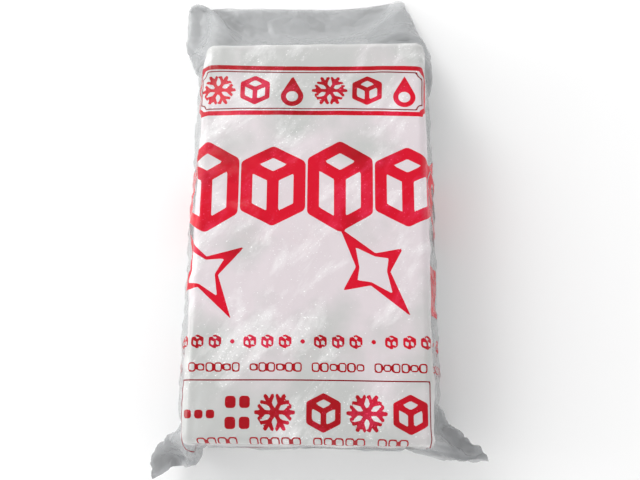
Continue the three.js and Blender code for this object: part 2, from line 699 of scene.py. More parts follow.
    def rime_and_glint_cover(
        self, material: bpy.types.Material, place: bpy.types.NodeSocket
    ) -> bpy.types.NodeSocket:
        """White rime wisps that lean across the slab, and fine white flecks where the wisps are thick:
        painted sparkle highlights on the rime.

        Args:
            material: The film's material.
            place: The socket with object coordinates.

        Returns:
            The socket with the share of rime and painted sparkle highlight, from 0 to 1.
        """
        add = partial(add_node, material)
        leaned = add(
            "ShaderNodeMapping",
            vector_type="TEXTURE",
            Vector=place,
            Rotation=(0.0, 0.0, math.radians(self.lean_degrees)),
            Scale=tuple(size * MM for size in self.wisp_mm),
        )
        noise = add(
            "ShaderNodeTexNoise",
            Vector=leaned.outputs["Vector"],
            Scale=1.0,
            Detail=9.0,
            Roughness=0.66,
            Distortion=0.35,
        )
        wisps = noise.outputs["Fac"]
        thick = add("ShaderNodeMapRange", Value=wisps, From_Min=0.5, From_Max=0.76, To_Max=0.85)
        # Fine white flecks: painted sparkle highlights where the rime is thick.
        glint_flecks = add("ShaderNodeTexNoise", Vector=place, Scale=pattern_scale(self.glint_fleck_mm), Detail=1.0)
        sparse_glints = add(
            "ShaderNodeMath", operation="MULTIPLY_ADD", i0=wisps, i1=0.7, i2=glint_flecks.outputs["Fac"]
        )
        # Painted sparkle highlights: the brightest flecks within thick wisps.
        painted_glints = add("ShaderNodeMapRange", Value=sparse_glints.outputs[0], From_Min=1.03, From_Max=1.13)
        wisps_and_glints = add(
            "ShaderNodeMath",
            operation="MAXIMUM",
            i0=thick.outputs["Result"],
            i1=painted_glints.outputs["Result"],
        )
        return wisps_and_glints.outputs[0]


# ---------------------------------------------------------------------------------------------
# The slab
# ---------------------------------------------------------------------------------------------


@dataclass
class IceSlab:
    """The slab of ice: its melted skin and the air sealed inside it. Sizes are in millimetres."""

    radius: float = 6.0
    skin_step: float = 2.6
    melt_depth: float = 0.5
    melt_noise: tuple[NoiseLayer, ...] = (((34.0, 34.0, 34.0), 11, 1.0), ((9.0, 9.0, 9.0), 5, 0.35))
    margin: float = 2.5
    wisp_lean: float = 38.0
    wisp_noise: tuple[NoiseLayer, ...] = (((75.0, 15.0, 22.0), 21, 0.6), ((28.0, 7.0, 9.0), 22, 0.4))
    cloud_noise: tuple[NoiseLayer, ...] = (((60.0, 70.0, 40.0), 23, 0.65), ((18.0, 18.0, 18.0), 24, 0.35))
    haze: float = 0.06
    specks: int = 48000
    speck_radii: Pair = (0.2, 0.45)
    bubbles: int = 5200
    bubble_radii: Pair = (0.35, 1.35)
    bubble_inset: float = 0.97
    threads: int = 900
    thread_axis: Triple = (0.55, 0.5, 0.65)
    thread_scatter: float = 0.12
    thread_lengths: Pair = (3.0, 16.0)
    thread_radii: Pair = (0.12, 0.4)
    thread_inset: float = 0.86
    cracks: int = 9
    crack_lengths: Pair = (28.0, 62.0)
    crack_widths: Pair = (8.0, 20.0)
    crack_lobes: Pair = (0.05, 0.18)
    crack_saddle: float = 0.001
    crack_wave: float = 0.9
    crack_tilts: tuple[Pair, Pair, Pair] = ((-1.2, 1.2), (-0.5, 0.5), (0.3, 1.1))
    crack_clearance: float = 1.5
    seed: int = 11
    shape: RoundedBox = field(init=False)

    def __post_init__(self) -> None:
        """Takes the slab's place and size from the solid."""
        low, high = (np.array(corner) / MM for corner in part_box("ice_block"))
        self.shape = RoundedBox((low + high) / 2.0, (high - low) / 2.0, self.radius)

    def build(self) -> list[bpy.types.Object]:
        """Makes every piece of the slab, dressed and riding on the body.

        Returns:
            The pieces.
        """
        skin = self.skin()
        skin.data.materials.append(ClearIce().material())
        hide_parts("ice_block")
        pieces = [skin, self.fine_cloud(), self.bubble_cloud(), self.thread_sheaf(), self.crack_veils()]
        for piece in pieces:
            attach(piece, BODY)
        return pieces

    def skin(self) -> bpy.types.Object:
        """The slab's surface: a rounded box with the slow dips and rises that melting leaves.

        Each side is a grid whose lines crowd towards the edges. A point on the flat side is taken
        back to the core and out again by the radius, which rounds the edge, and then inwards by the
        melt: two sizes of smooth noise.

        Returns:
            The skin.
        """
        half, radius = self.shape.half, self.radius
        lines = []
        for size in half:
            flat = np.linspace(-(size - radius), size - radius, int(2 * size / self.skin_step))
            bend = size - radius + radius * np.tan(np.linspace(0, np.pi / 4, 6)[1:])
            lines.append(np.concatenate([-bend[::-1], flat, bend]))
        points, faces, count = [], [], 0
        for axis in range(3):
            first, second = (axis + 1) % 3, (axis + 2) % 3
            for side in (-1, 1):
                grid = np.zeros((len(lines[second]), len(lines[first]), 3))
                grid[..., first] = lines[first][None, :]
                grid[..., second] = lines[second][:, None]
                grid[..., axis] = side * half[axis]
                corners = grid_faces(*grid.shape[:2]) + count
                faces.append(corners if side > 0 else corners[:, ::-1])
                points.append(grid.reshape(-1, 3))
                count += len(points[-1])
        flat = np.concatenate(points)
        unique, numbers = np.unique(np.round(flat, 4), axis=0, return_inverse=True)
        core = np.clip(unique, -(half - radius), half - radius)
        outward = unique - core
        outward /= np.linalg.norm(outward, axis=1, keepdims=True)
        melt = self.melt_depth * layered_noise(unique, self.melt_noise)[:, None]
        most = sum(weight for _, _, weight in self.melt_noise)
        skin = core + outward * (radius - melt / most)
        corners = numbers.ravel()[np.concatenate(faces)]
        return add_mesh("ice_skin", (skin + self.shape.centre) * MM, corners)

    def cloudiness(self, points: Array) -> Array:
        """How much air froze in at each place: wisps that lean across the slab, over broad clouds.

        The wisps are noise stretched along a slanting direction, and the clouds are noise on coarser
        lattices. Each has two sizes, and their sum is sharpened and kept above a thin haze.

        Args:
            points: Places about the slab's centre, one a row.

        Returns:
            A density, up to 1.
        """
        lean = math.radians(self.wisp_lean)
        along = points[:, 0] * math.cos(lean) + points[:, 1] * math.sin(lean)
        across = -points[:, 0] * math.sin(lean) + points[:, 1] * math.cos(lean)
        turned = np.stack([along, across, points[:, 2]], 1)
        wisp, cloud = layered_noise(turned, self.wisp_noise), layered_noise(points, self.cloud_noise)
        return np.clip(0.25 + 1.5 * (wisp - 0.42) + 1.1 * (cloud - 0.4), self.haze, 1.0)

    def strew(self, count: int, random: np.random.Generator) -> Array:
        """Strews points through the slab, thickly where it is cloudy.

        Args:
            count: How many points to keep.
            random: Draws the places.

        Returns:
            Places about the slab's centre, one a row.
        """
        kept: list[Array] = []
        while sum(map(len, kept)) < count:
            tried = random.uniform(-1, 1, (count * 2, 3)) * (self.shape.half - self.margin)
            kept.append(tried[random.random(len(tried)) < self.cloudiness(tried)])
        return np.concatenate(kept)[:count]

    def copies(
        self, name: str, shape: Array, faces: Array, frames: Array, places: Array
    ) -> bpy.types.Object:
        """Joins copies of one small shape into a mesh.

        Args:
            name: The piece's name.
            shape: The shape's points.
            faces: Its faces.
            frames: A turn and stretch for each copy, as a matrix.
            places: The place of each copy, about the slab's centre.

        Returns:
            The piece, dressed as trapped air.
        """
        points = (np.einsum("nij,kj->nki", frames, shape) + places[:, None]).reshape(-1, 3)
        numbers = faces[None] + (np.arange(len(places)) * len(shape))[:, None, None]
        piece = add_mesh(name, (points + self.shape.centre) * MM, numbers.reshape(-1, faces.shape[1]))
        piece.data.materials.append(TrappedAir(name).material())
        return piece

    def fine_cloud(self) -> bpy.types.Object:
        """The finest bubbles: specks 0.4 to 0.9 mm across, four faces each, coarser than real.

        Returns:
            The specks as one piece.
        """
        random = np.random.default_rng(self.seed)
        places = self.strew(self.specks, random)
        least, most = self.speck_radii
        sizes = least + (most - least) * random.random(len(places)) ** 2
        shape = np.array([[1, 1, 1], [1, -1, -1], [-1, 1, -1], [-1, -1, 1]]) / math.sqrt(3.0)
        frames = np.eye(3)[None] * sizes[:, None, None]
        return self.copies("ice_fine_bubbles", shape, convex_faces(shape), frames, places)

    def bubble_cloud(self) -> bpy.types.Object:
        """Bubbles 0.7 to 2.7 mm across, mostly small, each a round form of twenty faces.

        Returns:
            The bubbles as one piece.
        """
        random = np.random.default_rng(self.seed + 1)
        places = self.strew(self.bubbles, random) * self.bubble_inset
        least, most = self.bubble_radii
        sizes = least + (most - least) * random.random(len(places)) ** 4
        golden = (1.0 + math.sqrt(5.0)) / 2.0
        ring = [(0.0, a, b * golden) for a in (-1, 1) for b in (-1, 1)]
        shape = np.array([np.roll(point, turn) for turn in range(3) for point in ring])
        shape /= np.linalg.norm(shape[0])
        frames = np.eye(3)[None] * sizes[:, None, None]
        return self.copies("ice_bubbles", shape, convex_faces(shape), frames, places)

    def thread_sheaf(self) -> bpy.types.Object:
        """Air threads: long thin bubbles drawn out as the ice froze, all leaning much the same way.

        A thread is a circle carried along a line. Its radius is a power of the sine of the way along,
        so it swells and then shrinks nearly to a point.

        Returns:
            The threads as one piece.
        """
        random = np.random.default_rng(self.seed + 2)
        places = self.strew(self.threads, random) * self.thread_inset
        sides, rings = 5, 6
        turn = np.linspace(0, 2 * np.pi, sides, endpoint=False)
        way = np.linspace(0.02, 0.98, rings)[:, None]
        swell = np.sin(np.pi * way) ** 0.6
        shape = np.stack(
            [swell * np.cos(turn), swell * np.sin(turn), np.repeat(way - 0.5, sides, 1)], -1
        ).reshape(-1, 3)
        sleeve = grid_faces(rings, sides, wrap=True)
        fan = np.array([[0, i + 1, i] for i in range(1, sides - 1)])
        caps = np.concatenate([fan, fan[:, ::-1] + (rings - 1) * sides])
        faces = np.concatenate([sleeve[:, [0, 1, 2]], sleeve[:, [0, 2, 3]], caps])
        axis = np.array(self.thread_axis) + random.normal(0, self.thread_scatter, (len(places), 3))
        axis /= np.linalg.norm(axis, axis=1, keepdims=True)
        side = np.cross(axis, [0.0, 0.0, 1.0])
        side /= np.linalg.norm(side, axis=1, keepdims=True)
        lengths = random.uniform(*self.thread_lengths, (len(places), 1))
        widths = random.uniform(*self.thread_radii, (len(places), 1))
        frames = np.stack([side * widths, np.cross(axis, side) * widths, axis * lengths], -1)
        return self.copies("ice_air_threads", shape, faces, frames, places)

    def crack_veils(self) -> bpy.types.Object:
        """Healed cracks: curved sheets, each a leaf-shaped patch of a gently rippled surface.

        The patch is a disc of rings and spokes. Its rim is uneven, and its height over its own plane
        is a saddle and a wave.

        Returns:
            The cracks as one piece.
        """
        random = np.random.default_rng(self.seed + 3)
        rings, spokes = 14, 40
        reach = np.linspace(0.03, 1.0, rings)[:, None]
        turn = np.linspace(0, 2 * np.pi, spokes, endpoint=False)[None]
        inner = self.shape.half - self.crack_clearance
        points, faces = [], []
        for number in range(self.cracks):
            length, width = random.uniform(*self.crack_lengths), random.uniform(*self.crack_widths)
            rim = 1.0 + sum(
                random.uniform(*self.crack_lobes) * np.cos(lobes * turn + random.uniform(0, 6.3))
                for lobes in (2, 3, 5)
            )
            x, y = length * reach * rim * np.cos(turn), width * reach * rim * np.sin(turn)
            z = self.crack_saddle * (x * x - 3 * y * y) * random.uniform(-1, 1)
            z = z + self.crack_wave * np.sin(x / 9 + y / 6)
            tilt = Euler([random.uniform(*angles) for angles in self.crack_tilts])
            sheet = np.stack([x, y, z], -1).reshape(-1, 3) @ np.array(tilt.to_matrix()).T
            room = self.shape.half - self.margin - np.abs(sheet).max(0)
            place = random.uniform(-1, 1, 3) * np.maximum(room, 0)
            points.append(np.clip(sheet + place, -inner, inner))
            faces.append(grid_faces(rings, spokes, wrap=True) + number * rings * spokes)
        flat = (np.concatenate(points) + self.shape.centre) * MM
        piece = add_mesh("ice_healed_cracks", flat, np.concatenate(faces))
        piece.data.materials.append(HealedCrack().material())
        return piece


# ---------------------------------------------------------------------------------------------
# The bag's film
# ---------------------------------------------------------------------------------------------


@dataclass(frozen=True)
class Links:
    """Links between two sets of the net's points, pair by pair, each pair only once in a set."""

    one: Array
    other: Array
    rest: float
    share: float
    push_only: bool = False

    def pull(self) -> None:
        """Brings every link to its length once: each end moves half of its share of what is missing."""
        one, other = self.one, self.other
        way = other - one
        length = np.sqrt(np.einsum("ijk,ijk->ij", way, way)) + 1e-6
        move = (0.5 * self.share) * (1.0 - self.rest / length)
        if self.push_only:
            move = np.minimum(move, 0.0)
        way *= move[..., None]
        one += way
        other -= way


@dataclass
class TubeFilm:
    """A flat tube of film as a net of points, which closes over the slab as the slab rises in it.

    The net runs round the tube and along it from the cut end below the weld to the mouth. Its threads
    keep their length, its diagonals resist shear, and every second point resists a sharp bend. The
    two layers, front and back, never pass each other: each pair that faces the other keeps its order
    along a direction, which is up where the tube lies flat and turns with the folds. Millimetres.
    A field that ends in rows is a stretch along the film from its cut end, and one that ends in past
    is counted from the slab's far end instead. One that ends in reach is a stretch outwards from the
    middle. The mouth's room is counted back from the mouth, and the stand's fade from the slab's middle.
    """

    slab: RoundedBox
    width: float = 275.0
    length: float = 462.0
    columns: int = 160
    rows: int = 140
    below_slab: float = 34.0
    seal: float = 6.0
    layer_gap: float = 0.45
    stiffness: float = 0.12
    flap_from: float = 24.0
    seed: int = 3

    # How the tube is laid out, with its side strips hanging, and turned under past the slab.
    flat_half_gap: float = 0.5
    fold_radius: float = 2.5
    fold_at: float = 112.0
    fold_in_right: float = 10.5
    fold_out_left: float = 15.0
    hang_rows: Pair = (40.0, 90.0)
    hang_degrees: float = 75.0
    under_past: Pair = (-6.0, 30.0)
    under_degrees: float = 95.0
    corner_length: float = 33.0
    corner_inset: float = 20.0
    waves: int = 24
    wave_height: float = 0.25
    wave_sizes: Pair = (25.0, 80.0)

    # Which way the front layer stays from the back one.
    facing_rows: Pair = (25.0, 70.0)
    facing_reach: Pair = (84.0, 97.0)
    facing_degrees: float = 88.0
    facing_past: Pair = (-14.0, 26.0)
    fold_blend: float = 5.0

    # How far the sides may stand out once the slab has risen, and where they start to draw in.
    side_limit: float = 140.0
    right_tuck: float = 41.0
    right_ease: float = 1.5
    right_tuck_rows: Pair = (24.0, 78.0)
    right_ease_past: Pair = (-10.0, 70.0)
    left_tuck: float = 37.0
    left_ease: float = 22.0
    left_tuck_rows: Pair = (12.0, 48.0)
    left_ease_past: Pair = (-40.0, 22.0)
    left_stand: float = 11.0
    right_stand: float = 3.0
    stand_fade: Pair = (135.0, 162.0)

    # How low and high the film may lie, and how far past the slab's near end.
    floor_gap: float = 0.1
    headroom: float = 3.0
    low_side: float = 0.85
    low_side_reach: Pair = (86.0, 118.0)
    low_side_past: Pair = (-25.0, 20.0)
    end_gap: float = 3.0
    ear_room: float = 60.0
    ear_reach: Pair = (74.0, 104.0)
    slack_room: float = 20.0

    # How it settles.
    grow_steps: int = 130
    settle_steps: int = 170
    calm_steps: int = 60
    rounds: int = 11
    first_half_height: float = 0.8
    carry: float = 0.93
    calm_carry: float = 0.8
    sag: float = 0.03
    side_sag: float = 0.1
    side_sag_reach: Pair = (100.0, 125.0)
    side_sag_rows: Pair = (40.0, 80.0)
    side_sag_past: Pair = (-22.0, -4.0)
    spread_from: float = 0.3
    hold_share: float = 0.12
    mouth_room: Pair = (75.0, 30.0)
    mouth_share: float = 0.35

    def __post_init__(self) -> None:
        """Lays the tube out flat, its side strips already turned down, and ties the net."""
        self.step_round = 2.0 * self.width / self.columns
        self.step_along = self.length / (self.rows - 1)
        around = np.arange(self.columns) * self.step_round
        half = self.width / 2.0
        self.across = np.where(around <= self.width, around - half, 3.0 * half - around)
        self.before = (np.arange(self.rows) * self.step_along)[:, None]
        self.front = np.arange(self.columns) < self.columns // 2
        self.slab_to = self.below_slab + 2.0 * self.slab.half[1]
        self.points = self.flat_tube()
        self.order = self.layer_order()
        self.links: list[Links] = []
        self.tie()

    def past_slab(self, start: float, end: float) -> Array:
        """A smooth rise along the film, over a stretch counted from the slab's far end."""
        return smooth_step(self.before, self.slab_to + start, self.slab_to + end)

    def corner_slant(self) -> Array:
        """How far the fold that turns the mouth's right corner under has slanted in, by row."""
        share = (self.before - (self.length - self.corner_length)) / self.corner_length
        return self.corner_inset * np.clip(share, 0, 1)

    def strip_fold(self) -> tuple[Array, Array]:
        """Where the strips at both sides fold over, and how far.

        Beside the slab the strip hangs down, and past its end it turns under the flap. Near the
        mouth the right fold slants inwards, which turns the corner under.

        Returns:
            The fold's distance from the middle and its angle, for each row and column.
        """
        hang = smooth_step(self.before, *self.hang_rows)
        under = self.past_slab(*self.under_past)
        right = self.fold_at - self.fold_in_right * under - self.corner_slant()
        fold = np.where(self.across[None, :] > 0, right, self.fold_at + self.fold_out_left * under)
        angle = np.radians(self.hang_degrees * hang + self.under_degrees * under)
        return fold, np.broadcast_to(angle, fold.shape)

    def flat_tube(self) -> Array:
        """The tube before the slab rises: two layers half a millimetre off the middle.

        Past the fold the film follows a small arc and then runs on straight at the fold's angle.
        Faint waves in many directions let creases start where they like.

        Returns:
            The net's points, by row and column.
        """
        fold, angle = self.strip_fold()
        reach = np.abs(self.across)[None, :]
        past = np.maximum(reach - fold, 0)
        turned = np.minimum(past / self.fold_radius, angle)
        straight = np.maximum(past - self.fold_radius * angle, 0)
        out = np.minimum(reach, fold) + self.fold_radius * np.sin(turned) + straight * np.cos(angle)
        down = self.fold_radius * (1 - np.cos(turned)) + straight * np.sin(angle)
        layer = np.where(self.front, self.flat_half_gap, -self.flat_half_gap)[None, :]
        points = np.empty((self.rows, self.columns, 3), np.float32)
        points[..., 0] = np.sign(self.across) * (out + layer * np.sin(turned))
        points[..., 1] = self.before - self.below_slab - self.slab.half[1] + self.slab.centre[1]
        points[..., 2] = self.slab.centre[2] - down + layer * np.cos(turned)
        random = np.random.default_rng(self.seed)
        least, most = self.wave_sizes
        for _ in range(self.waves):
            heading, size, phase = random.uniform((0, least, 0), (2 * np.pi, most, 2 * np.pi))
            way = self.across * np.cos(heading) + self.before * np.sin(heading)
            points[..., 2] += self.wave_height * np.sin(way * 2 * np.pi / size + phase)
        return points

    def layer_order(self) -> Array:
        """The direction in which the front layer stays above the back one, for each facing pair.

        It turns outwards beside the slab, and right over where the strip is turned under.

        Returns:
            Unit directions, by row and by front column.
        """
        across = self.across[None, 1 : self.columns // 2]
        reach = np.abs(across)
        side = smooth_step(self.before, *self.facing_rows) * smooth_step(reach, *self.facing_reach)
        fold = self.strip_fold()[0][:, 1 : self.columns // 2]
        under = 180 * smooth_step(reach, fold - self.fold_blend, fold + self.fold_blend)
        past = self.past_slab(*self.facing_past)
        angle = np.radians(self.facing_degrees * side * (1 - past) + under * past)
        order = (np.sign(across) * np.sin(angle), 0 * angle, np.cos(angle))
        return np.stack(order, -1).astype(np.float32)

    def tie(self) -> None:
        """Lists the net's links: threads round and along, diagonals, and struts against bending.

        Each set is a pair of views into the points, so that one step moves a whole set at once.
        """
        net, wide, long = self.points, self.step_round, self.step_along
        threads = (
            (net[:, 0::2], net[:, 1::2], wide),
            (net[:, 1:-1:2], net[:, 2::2], wide),
            (net[:, -1:], net[:, :1], wide),
            (net[0:-1:2], net[1::2], long),
            (net[1:-1:2], net[2::2], long),
        )
        self.links += [Links(one, other, rest, 1.0) for one, other, rest in threads]
        slant = math.hypot(wide, long)
        for start in (0, 1):
            upper = net[start + 1 :: 2]
            lower = net[start:-1:2][: len(upper)]
            for one, other in ((lower, upper), (upper, lower)):
                self.links.append(Links(one[:, :-1], other[:, 1:], slant, 0.5))
                self.links.append(Links(one[:, -1:], other[:, :1], slant, 0.5))
        self.brace(net, 2)
        self.brace(net[round((self.slab_to + self.flap_from) / long) :], 4)

    def brace(self, part: Array, span: int) -> None:
        """Adds struts that resist a sharp bend: links that only push, between points a span apart.

        Args:
            part: The rows of the net to brace.
            span: How many points on each strut reaches, round the tube and along it.
        """
        wide, long = span * self.step_round, span * self.step_along
        for start in range(2 * span):
            one, other = part[:, start :: 2 * span], part[:, start + span :: 2 * span]
            pairs = [(one[:, : other.shape[1]], other, wide)]
            if start >= span:
                pairs.append((one[:, -1:], part[:, start - span : start - span + 1], wide))
            other = part[start + span :: 2 * span]
            pairs.append((part[start :: 2 * span][: len(other)], other, long))
            self.links += [Links(*pair, self.stiffness, push_only=True) for pair in pairs]

    def keep_order(self) -> None:
        """Parts facing pairs that are too close, and draws them together at the weld and the mouth."""
        half = self.columns // 2
        front, back = self.points[:, 1:half], self.points[:, :half:-1]
        away = front - back
        along = np.einsum("ijk,ijk->ij", away, self.order)
        part = (0.5 * np.maximum(self.layer_gap - along, 0))[..., None] * self.order
        front += part
        back -= part
        start, end = (self.length - room for room in self.mouth_room)
        held = smooth_step(self.before, start, end) * self.mouth_share
        held = np.where(self.before <= self.seal, 1.0, held)[..., None].astype(np.float32)
        close = (0.5 * held) * (front - back - self.layer_gap * self.order)
        front -= close
        back += close

    def draw_in(self, spread: float) -> None:
        """Narrows the room at both sides, so that the folds lie close to the slab.

        The sides draw in from the ears on. Past the slab the left one eases out again, and the
        right one follows the slanting corner.

        Args:
            spread: How much of the narrowing is in force, from 0 to 1.
        """
        right = self.right_tuck - self.right_ease * self.past_slab(*self.right_ease_past)
        right = self.side_limit - right * smooth_step(self.before, *self.right_tuck_rows) * spread
        right = right - self.corner_slant() * spread
        left = self.left_tuck - self.left_ease * self.past_slab(*self.left_ease_past)
        left = self.side_limit - left * (smooth_step(self.before, *self.left_tuck_rows) * spread)
        np.clip(self.points[..., 0], -left, right, out=self.points[..., 0])

    def press_down(self, half_height: float, spread: float) -> None:
        """Keeps the film above the surface, below a ceiling, and near the slab's near end.

        The ceiling lies just over the slab. Past its far end it slopes down to the mouth, and there
        it is low along the left side too. The ears have more room at the near end than the middle.

        Args:
            half_height: Half the slab's height so far.
            spread: How much of the slopes is in force, from 0 to 1.
        """
        net, before = self.points, self.before
        down = np.clip((before - self.slab_to) / (self.length - self.slab_to), 0, 1)
        aside = smooth_step(-net[..., 0], *self.low_side_reach) * self.past_slab(*self.low_side_past)
        ceiling = (self.slab.centre[2] + half_height) * (1 - spread * down)
        ceiling = ceiling * (1 - self.low_side * spread * aside)
        np.clip(net[..., 2], self.floor_gap, self.headroom + ceiling, out=net[..., 2])
        end = self.slab.centre[1] - self.slab.half[1] - self.end_gap
        end = end - self.ear_room * smooth_step(np.abs(net[..., 0]), *self.ear_reach)
        np.maximum(net[..., 1], end - self.slack_room * (1 - spread), out=net[..., 1])

    def clear_slab(self, half_height: float, spread: float) -> None:
        """Keeps the film off the slab, and lets it bulge away from the sides at mid-height.

        A point inside the core goes up or down by its layer, and one too near goes straight out.
        The bulge is the sine of the height, and it fades towards both ends of the slab.

        Args:
            half_height: Half the slab's height so far.
            spread: How much of the bulge is in force, from 0 to 1.
        """
        net, half = self.points, self.slab.half.copy()
        half[2] = half_height
        box = RoundedBox(self.slab.centre, half, min(self.slab.radius, half_height))
        inner = np.nonzero(box.split(net)[1] <= 1e-4)
        rise = np.where(self.front[inner[1]], 1, -1) * (half_height + self.layer_gap)
        net[inner[0], inner[1], 2] = self.slab.centre[2] + rise
        box.push_out(net, self.layer_gap)
        rise = np.sin(np.pi * np.clip(net[..., 2] / (2 * half_height), 0, 1))
        way = net[..., 1] - self.slab.centre[1]
        bulge = rise * spread * (1 - smooth_step(np.abs(way), *self.stand_fade))
        side = np.sign(net[..., 0])
        least = half[0] + np.where(side > 0, self.right_stand, self.left_stand) * bulge
        beside = side * net[..., 0] > half[0]
        np.copyto(net[..., 0], side * np.maximum(side * net[..., 0], least), where=beside)

    def hold(self, across: float, along: float, place: Triple) -> None:
        """Draws both layers at one place on the flat film towards a point in space.

        Args:
            across: How far from the flat film's middle it is.
            along: How far from the cut end it is.
            place: The point in space.
        """
        column = round((across + self.width / 2.0) / self.step_round)
        row = round(along / self.step_along)
        for number in {column % self.columns, -column % self.columns}:
            self.points[row, number] += self.hold_share * (np.array(place) - self.points[row, number])

    def hold_mouth(self, curve: Array) -> None:
        """Draws the mouth's edge towards a curve, and the strip turned under at its left after it.

        Args:
            curve: Knots of the curve: the place across the flat film, and the point in space.
        """
        edge, share = self.points[-1], self.hold_share
        chosen = np.nonzero((self.across >= curve[0, 0]) & (self.across <= curve[-1, 0]))[0]
        target = [np.interp(self.across[chosen], curve[:, 0], curve[:, axis]) for axis in (1, 2, 3)]
        edge[chosen] += share * (np.stack(target, 1) - edge[chosen])
        strip = np.nonzero(self.across < curve[0, 0] - 4)[0]
        turned = 2 * curve[0, 1] - self.across[strip]
        edge[strip, 0] += share * (turned - edge[strip, 0])
        edge[strip, 1] += share * (curve[0, 2] - edge[strip, 1])

    def settle(self, holds: Iterable[tuple[float, float, Triple]], mouth: Array) -> None:
        """Raises the slab inside the tube and lets the film come to rest.

        Each step carries the points on by most of their last move and a little fall, and then goes
        round all the rules several times.

        Args:
            holds: Places on the flat film, across and along, with the points that they are drawn to
                once the slab has risen.
            mouth: The curve that the mouth's edge is drawn to then, as hold_mouth takes it.
        """
        net, last = self.points, self.points.copy()
        beside = smooth_step(np.abs(self.across)[None, :], *self.side_sag_reach)
        beside = beside * smooth_step(self.before, *self.side_sag_rows)
        beside = beside * (1 - self.past_slab(*self.side_sag_past))
        fall = (self.sag + self.side_sag * beside).astype(np.float32)
        steps = self.grow_steps + self.settle_steps
        for step in range(steps):
            risen = min(1.0, (step + 1) / self.grow_steps)
            height = self.first_half_height + (self.slab.half[2] - self.first_half_height) * risen
            spread = smooth_step(risen, self.spread_from, 1.0)
            carried = (net - last) * (self.carry if step < steps - self.calm_steps else self.calm_carry)
            last[:] = net
            net += carried
            net[..., 2] -= fall
            for turn in range(self.rounds):
                for links in self.links:
                    links.pull()
                if risen >= 1.0:
                    for hold in holds:
                        self.hold(*hold)
                    self.hold_mouth(mouth)
                if turn % 3 == 1:
                    self.keep_order()
                    self.draw_in(spread)
                    self.press_down(height, spread)
                    self.clear_slab(height, spread)


# ---------------------------------------------------------------------------------------------
# The print
# ---------------------------------------------------------------------------------------------


